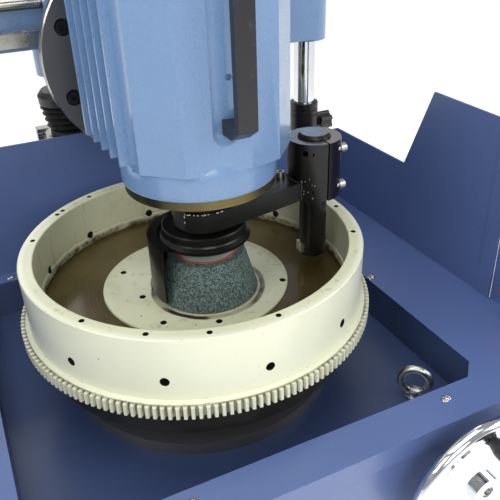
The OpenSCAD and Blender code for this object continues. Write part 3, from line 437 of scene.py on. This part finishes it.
bright_steel = steel("bright_steel", display(188, 184, 180), (spindle.x, spindle.y), 0.2, 500.0)
clamp_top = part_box("tool_arm")[1].z
bar_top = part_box("tool_bar")[1].z
paint_faces("tool_arm", bright_steel, lambda c, n: n.z > 0.9 and c.z > clamp_top - 0.5 * MM)
paint_faces("tool_bar", bright_steel, lambda c, n: n.z > 0.9 and c.z > bar_top - 0.3 * MM)
flange_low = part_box("wheel_flange")[1].z - 21 * MM
stone_grey = card("stone_grey", display(132, 140, 138))
paint_faces("wheel_flange", stone_grey, lambda c, n: c.z < flange_low - 0.5 * MM)
disc_middle = middle("swivel_disc")
disc_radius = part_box("swivel_disc")[1].x - disc_middle.x
paint_faces("swivel_disc", bright_steel, lambda c, n: n.y < -0.5 and n.y > -0.9
            and math.hypot(c.x - disc_middle.x, c.z - disc_middle.z) > disc_radius - 2 * MM)


def soften(node, width, segments=2):
    """Rounds a CAD node's sharp edges with modifiers only."""
    weld = nodes[node].modifiers.new("weld", "WELD")
    weld.merge_threshold = 0.02 * MM
    bevel = nodes[node].modifiers.new("soft_edges", "BEVEL")
    bevel.width = width
    bevel.segments = segments
    bevel.limit_method = "ANGLE"
    bevel.angle_limit = math.radians(28)
    bevel.harden_normals = False
    bevel.use_clamp_overlap = True


for soft_node, width in (("motor_housing", 1.2), ("head_handle", 0.9),
                         ("control_pillar", 2.0), ("crosshead", 1.0), ("foot_left", 0.8),
                         ("fan_cover", 1.0), ("saddle", 1.0)):
    soften(soft_node, width * MM)


# ---------------------------------------------------------------- detail pieces

random.seed(7)


def add_piece(name, mesh, material, body):
    """Links a mesh as a detail piece that moves with a CAD body."""
    mesh.materials.append(material)
    for face in mesh.polygons:
        face.use_smooth = True
    piece = bpy.data.objects.new(name, mesh)
    bpy.context.scene.collection.objects.link(piece)
    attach(piece, body)
    return piece


def clusters(node, reach):
    """Middles of the separate solids of a CAD node, seen from above."""
    found = []
    for vertex in nodes[node].data.vertices:
        for group in found:
            if math.hypot(vertex.co.x - group[0].x, vertex.co.y - group[0].y) < reach:
                group.append(vertex.co)
                break
        else:
            found.append([vertex.co])
    middles = []
    for group in found:
        xs = [p.x for p in group]
        ys = [p.y for p in group]
        middles.append(Vector(((min(xs) + max(xs)) / 2, (min(ys) + max(ys)) / 2, max(p.z for p in group))))
    return middles


def on_circle(centre, radius, angle):
    """x and y of a point on a circle round an upright axis; the angle is in radians."""
    return centre.x + radius * math.cos(angle), centre.y + radius * math.sin(angle)


def weld_bead(name, points, radius, material, body):
    """A line of overlapping, uneven weld drops."""
    mesh = bpy.data.meshes.new(name)
    bm = bmesh.new()
    for point in points:
        size = radius * random.uniform(0.75, 1.2)
        turn = Matrix.Rotation(random.uniform(0, math.tau), 4, "Z")
        place = Matrix.Translation(Vector(point)) @ turn @ Matrix.Diagonal((size, size * 0.8, size, 1.0))
        bmesh.ops.create_icosphere(bm, subdivisions=2, radius=1.0, matrix=place)
    bm.to_mesh(mesh)
    bm.free()
    return add_piece(name, mesh, material, body)


def pan_heads(name, places, radius, tall, sink):
    """Domed screw heads with a cross recess."""
    mesh = bpy.data.meshes.new(name)
    bm = bmesh.new()
    rings, around = 7, 24
    for place in places:
        turn = random.uniform(0, math.tau)
        last = None
        for i in range(rings + 1):
            bend = math.pi / 2 * i / rings
            r = radius * math.cos(bend) ** 0.7 if i < rings else radius * 0.12
            z = place.z - tall + tall * math.sin(bend)
            ring = []
            for k in range(around):
                angle = turn + math.tau * k / around
                slot = min(abs(math.sin(angle - turn)), abs(math.cos(angle - turn)))
                dip = sink if r < 0.66 * radius and r * slot < 0.17 * radius else 0.0
                ring.append(bm.verts.new((*on_circle(place, r, angle), z - dip)))
            if last:
                for k in range(around):
                    n = (k + 1) % around
                    bm.faces.new((last[k], last[n], ring[n], ring[k]))
            last = ring
        bm.faces.new(last)
    bm.to_mesh(mesh)
    bm.free()
    return mesh


screw_places = clusters("deck_screws", 8 * MM)
heads = add_piece("pan_screw_heads", pan_heads("pan_screw_heads", screw_places, 5.0 * MM, 3.0 * MM, 0.8 * MM),
                  bright_steel, "base")
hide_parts("deck_screws")

# weld between the arm and its clamp: up the front of the joint, then across the top of the arm
ARM_HEIGHT = 25 * MM
BEAD_STEP = 1.6 * MM
JOINT = 0.575                          # where the front of the arm meets the clamp, in radians
JOINT_STEP = 0.063
arm_low = rim_top + 37 * MM
arm_high = arm_low + ARM_HEIGHT
clamp = middle("tool_bar")
clamp_radius = 35 * MM
spatter_radius = clamp_radius + 0.3 * MM
bead = [(*on_circle(clamp, -clamp_radius, JOINT), arm_low + 2 * MM + i * BEAD_STEP) for i in range(15)]
bead += [(*on_circle(clamp, -clamp_radius, JOINT - i * JOINT_STEP), arm_high) for i in range(18)]
spatter_at = [random.uniform(0.5, 1.1) for _ in range(12)]
spatter = [(*on_circle(clamp, -spatter_radius, angle), arm_high + random.uniform(-22, 14) * MM)
           for angle in spatter_at]
weld_bead("clamp_weld", bead, 2.0 * MM, black_oxide("weld_dark", 40), "tool_arm")
weld_bead("weld_spatter", spatter, 0.9 * MM, zinc("weld_metal"), "tool_arm")

# white paint left along the front edge of the arm's hub
HUB_EDGE = 44 * MM
HUB_CORNER = math.radians(219)
chips_at = [math.radians(random.uniform(219, 282)) for _ in range(26)]
chips = [(*on_circle(spindle, HUB_EDGE, angle), arm_high - random.uniform(0, 1) * MM) for angle in chips_at]
chips += [(*on_circle(spindle, HUB_EDGE, HUB_CORNER), arm_high - random.uniform(1, 12) * MM)
          for _ in range(6)]
chip_white = card("chip_white", display(226, 224, 206))
weld_bead("paint_chips", chips, 0.7 * MM, chip_white, "tool_arm")


# ---------------------------------------------------------------- camera, light and floor

def look(target, azimuth, elevation, distance, roll):
    """Places the camera round a target; the angles are in degrees."""
    a, e, r = (math.radians(v) for v in (azimuth, elevation, roll))
    back = Vector((math.sin(a) * math.cos(e), -math.cos(a) * math.cos(e), math.sin(e)))
    right = Vector((math.cos(a), math.sin(a), 0.0))
    up = back.cross(right)
    tilted_right = right * math.cos(r) - up * math.sin(r)
    tilted_up = up * math.cos(r) + right * math.sin(r)
    turn = Matrix((tilted_right, tilted_up, back)).transposed().to_4x4()
    camera = bpy.data.objects.new("camera", bpy.data.cameras.new("camera"))
    camera.matrix_world = Matrix.Translation(target + back * distance) @ turn
    bpy.context.scene.collection.objects.link(camera)
    bpy.context.scene.camera = camera
    return camera


camera = look(Vector((0.0505, -0.0697, rim_top)), -24.72, 29.83, 0.8098, 2.06)
camera.data.lens = 46.35
camera.data.clip_end = 60.0

FLOOR_HALF = 20.0
floor_mesh = bpy.data.meshes.new("floor")
floor_mesh.from_pydata([(x, y, 0.0) for x, y in ((-1, -1), (1, -1), (1, 1), (-1, 1))], [], [(0, 1, 2, 3)])
floor_mesh.transform(Matrix.Scale(FLOOR_HALF, 4))
floor = bpy.data.objects.new("floor", floor_mesh)
bpy.context.scene.collection.objects.link(floor)
floor_shader = Shader("pale_floor")
floor_mesh.materials.append(floor_shader.finish(
    floor_shader.mix(floor_shader.noise(2.0, 3.0), (0.88, 0.88, 0.88, 1), (0.92, 0.92, 0.92, 1)), 0.7))
floor_shader.bsdf.inputs["Emission Color"].default_value = (1.0, 1.0, 1.0, 1.0)
floor_shader.bsdf.inputs["Emission Strength"].default_value = 0.62


def softbox(name, place, aim, size, watts, tone=(1.0, 1.0, 1.0)):
    """A large area light aimed at a point."""
    light = bpy.data.lights.new(name, "AREA")
    light.shape = "RECTANGLE"
    light.size, light.size_y = size
    light.energy = watts
    light.color = tone
    lamp = bpy.data.objects.new(name, light)
    lamp.location = place
    lamp.rotation_euler = (Vector(aim) - Vector(place)).to_track_quat("-Z", "Y").to_euler()
    bpy.context.scene.collection.objects.link(lamp)


aim = (0.0, 0.0, rim_top)
softbox("overhead", (-0.4, -0.1, 3.6), aim, (2.4, 2.4), 40.0)
softbox("left", (-2.8, -0.9, 3.1), aim, (1.6, 1.6), 38.0)
softbox("front", (-0.6, -3.1, 2.4), aim, (1.6, 1.4), 34.0)
softbox("right", (2.4, -1.9, 2.6), aim, (2.4, 2.0), 52.0)
softbox("back", (0.4, 2.8, 2.8), aim, (2.4, 1.2), 20.0)

world = bpy.data.worlds.new("studio")
world.use_nodes = True
world.node_tree.nodes["Background"].inputs[0].default_value = (1.0, 1.0, 1.0, 1.0)
world.node_tree.nodes["Background"].inputs[1].default_value = 0.40
bpy.context.scene.world = world
bpy.context.scene.view_settings.view_transform = "Standard"
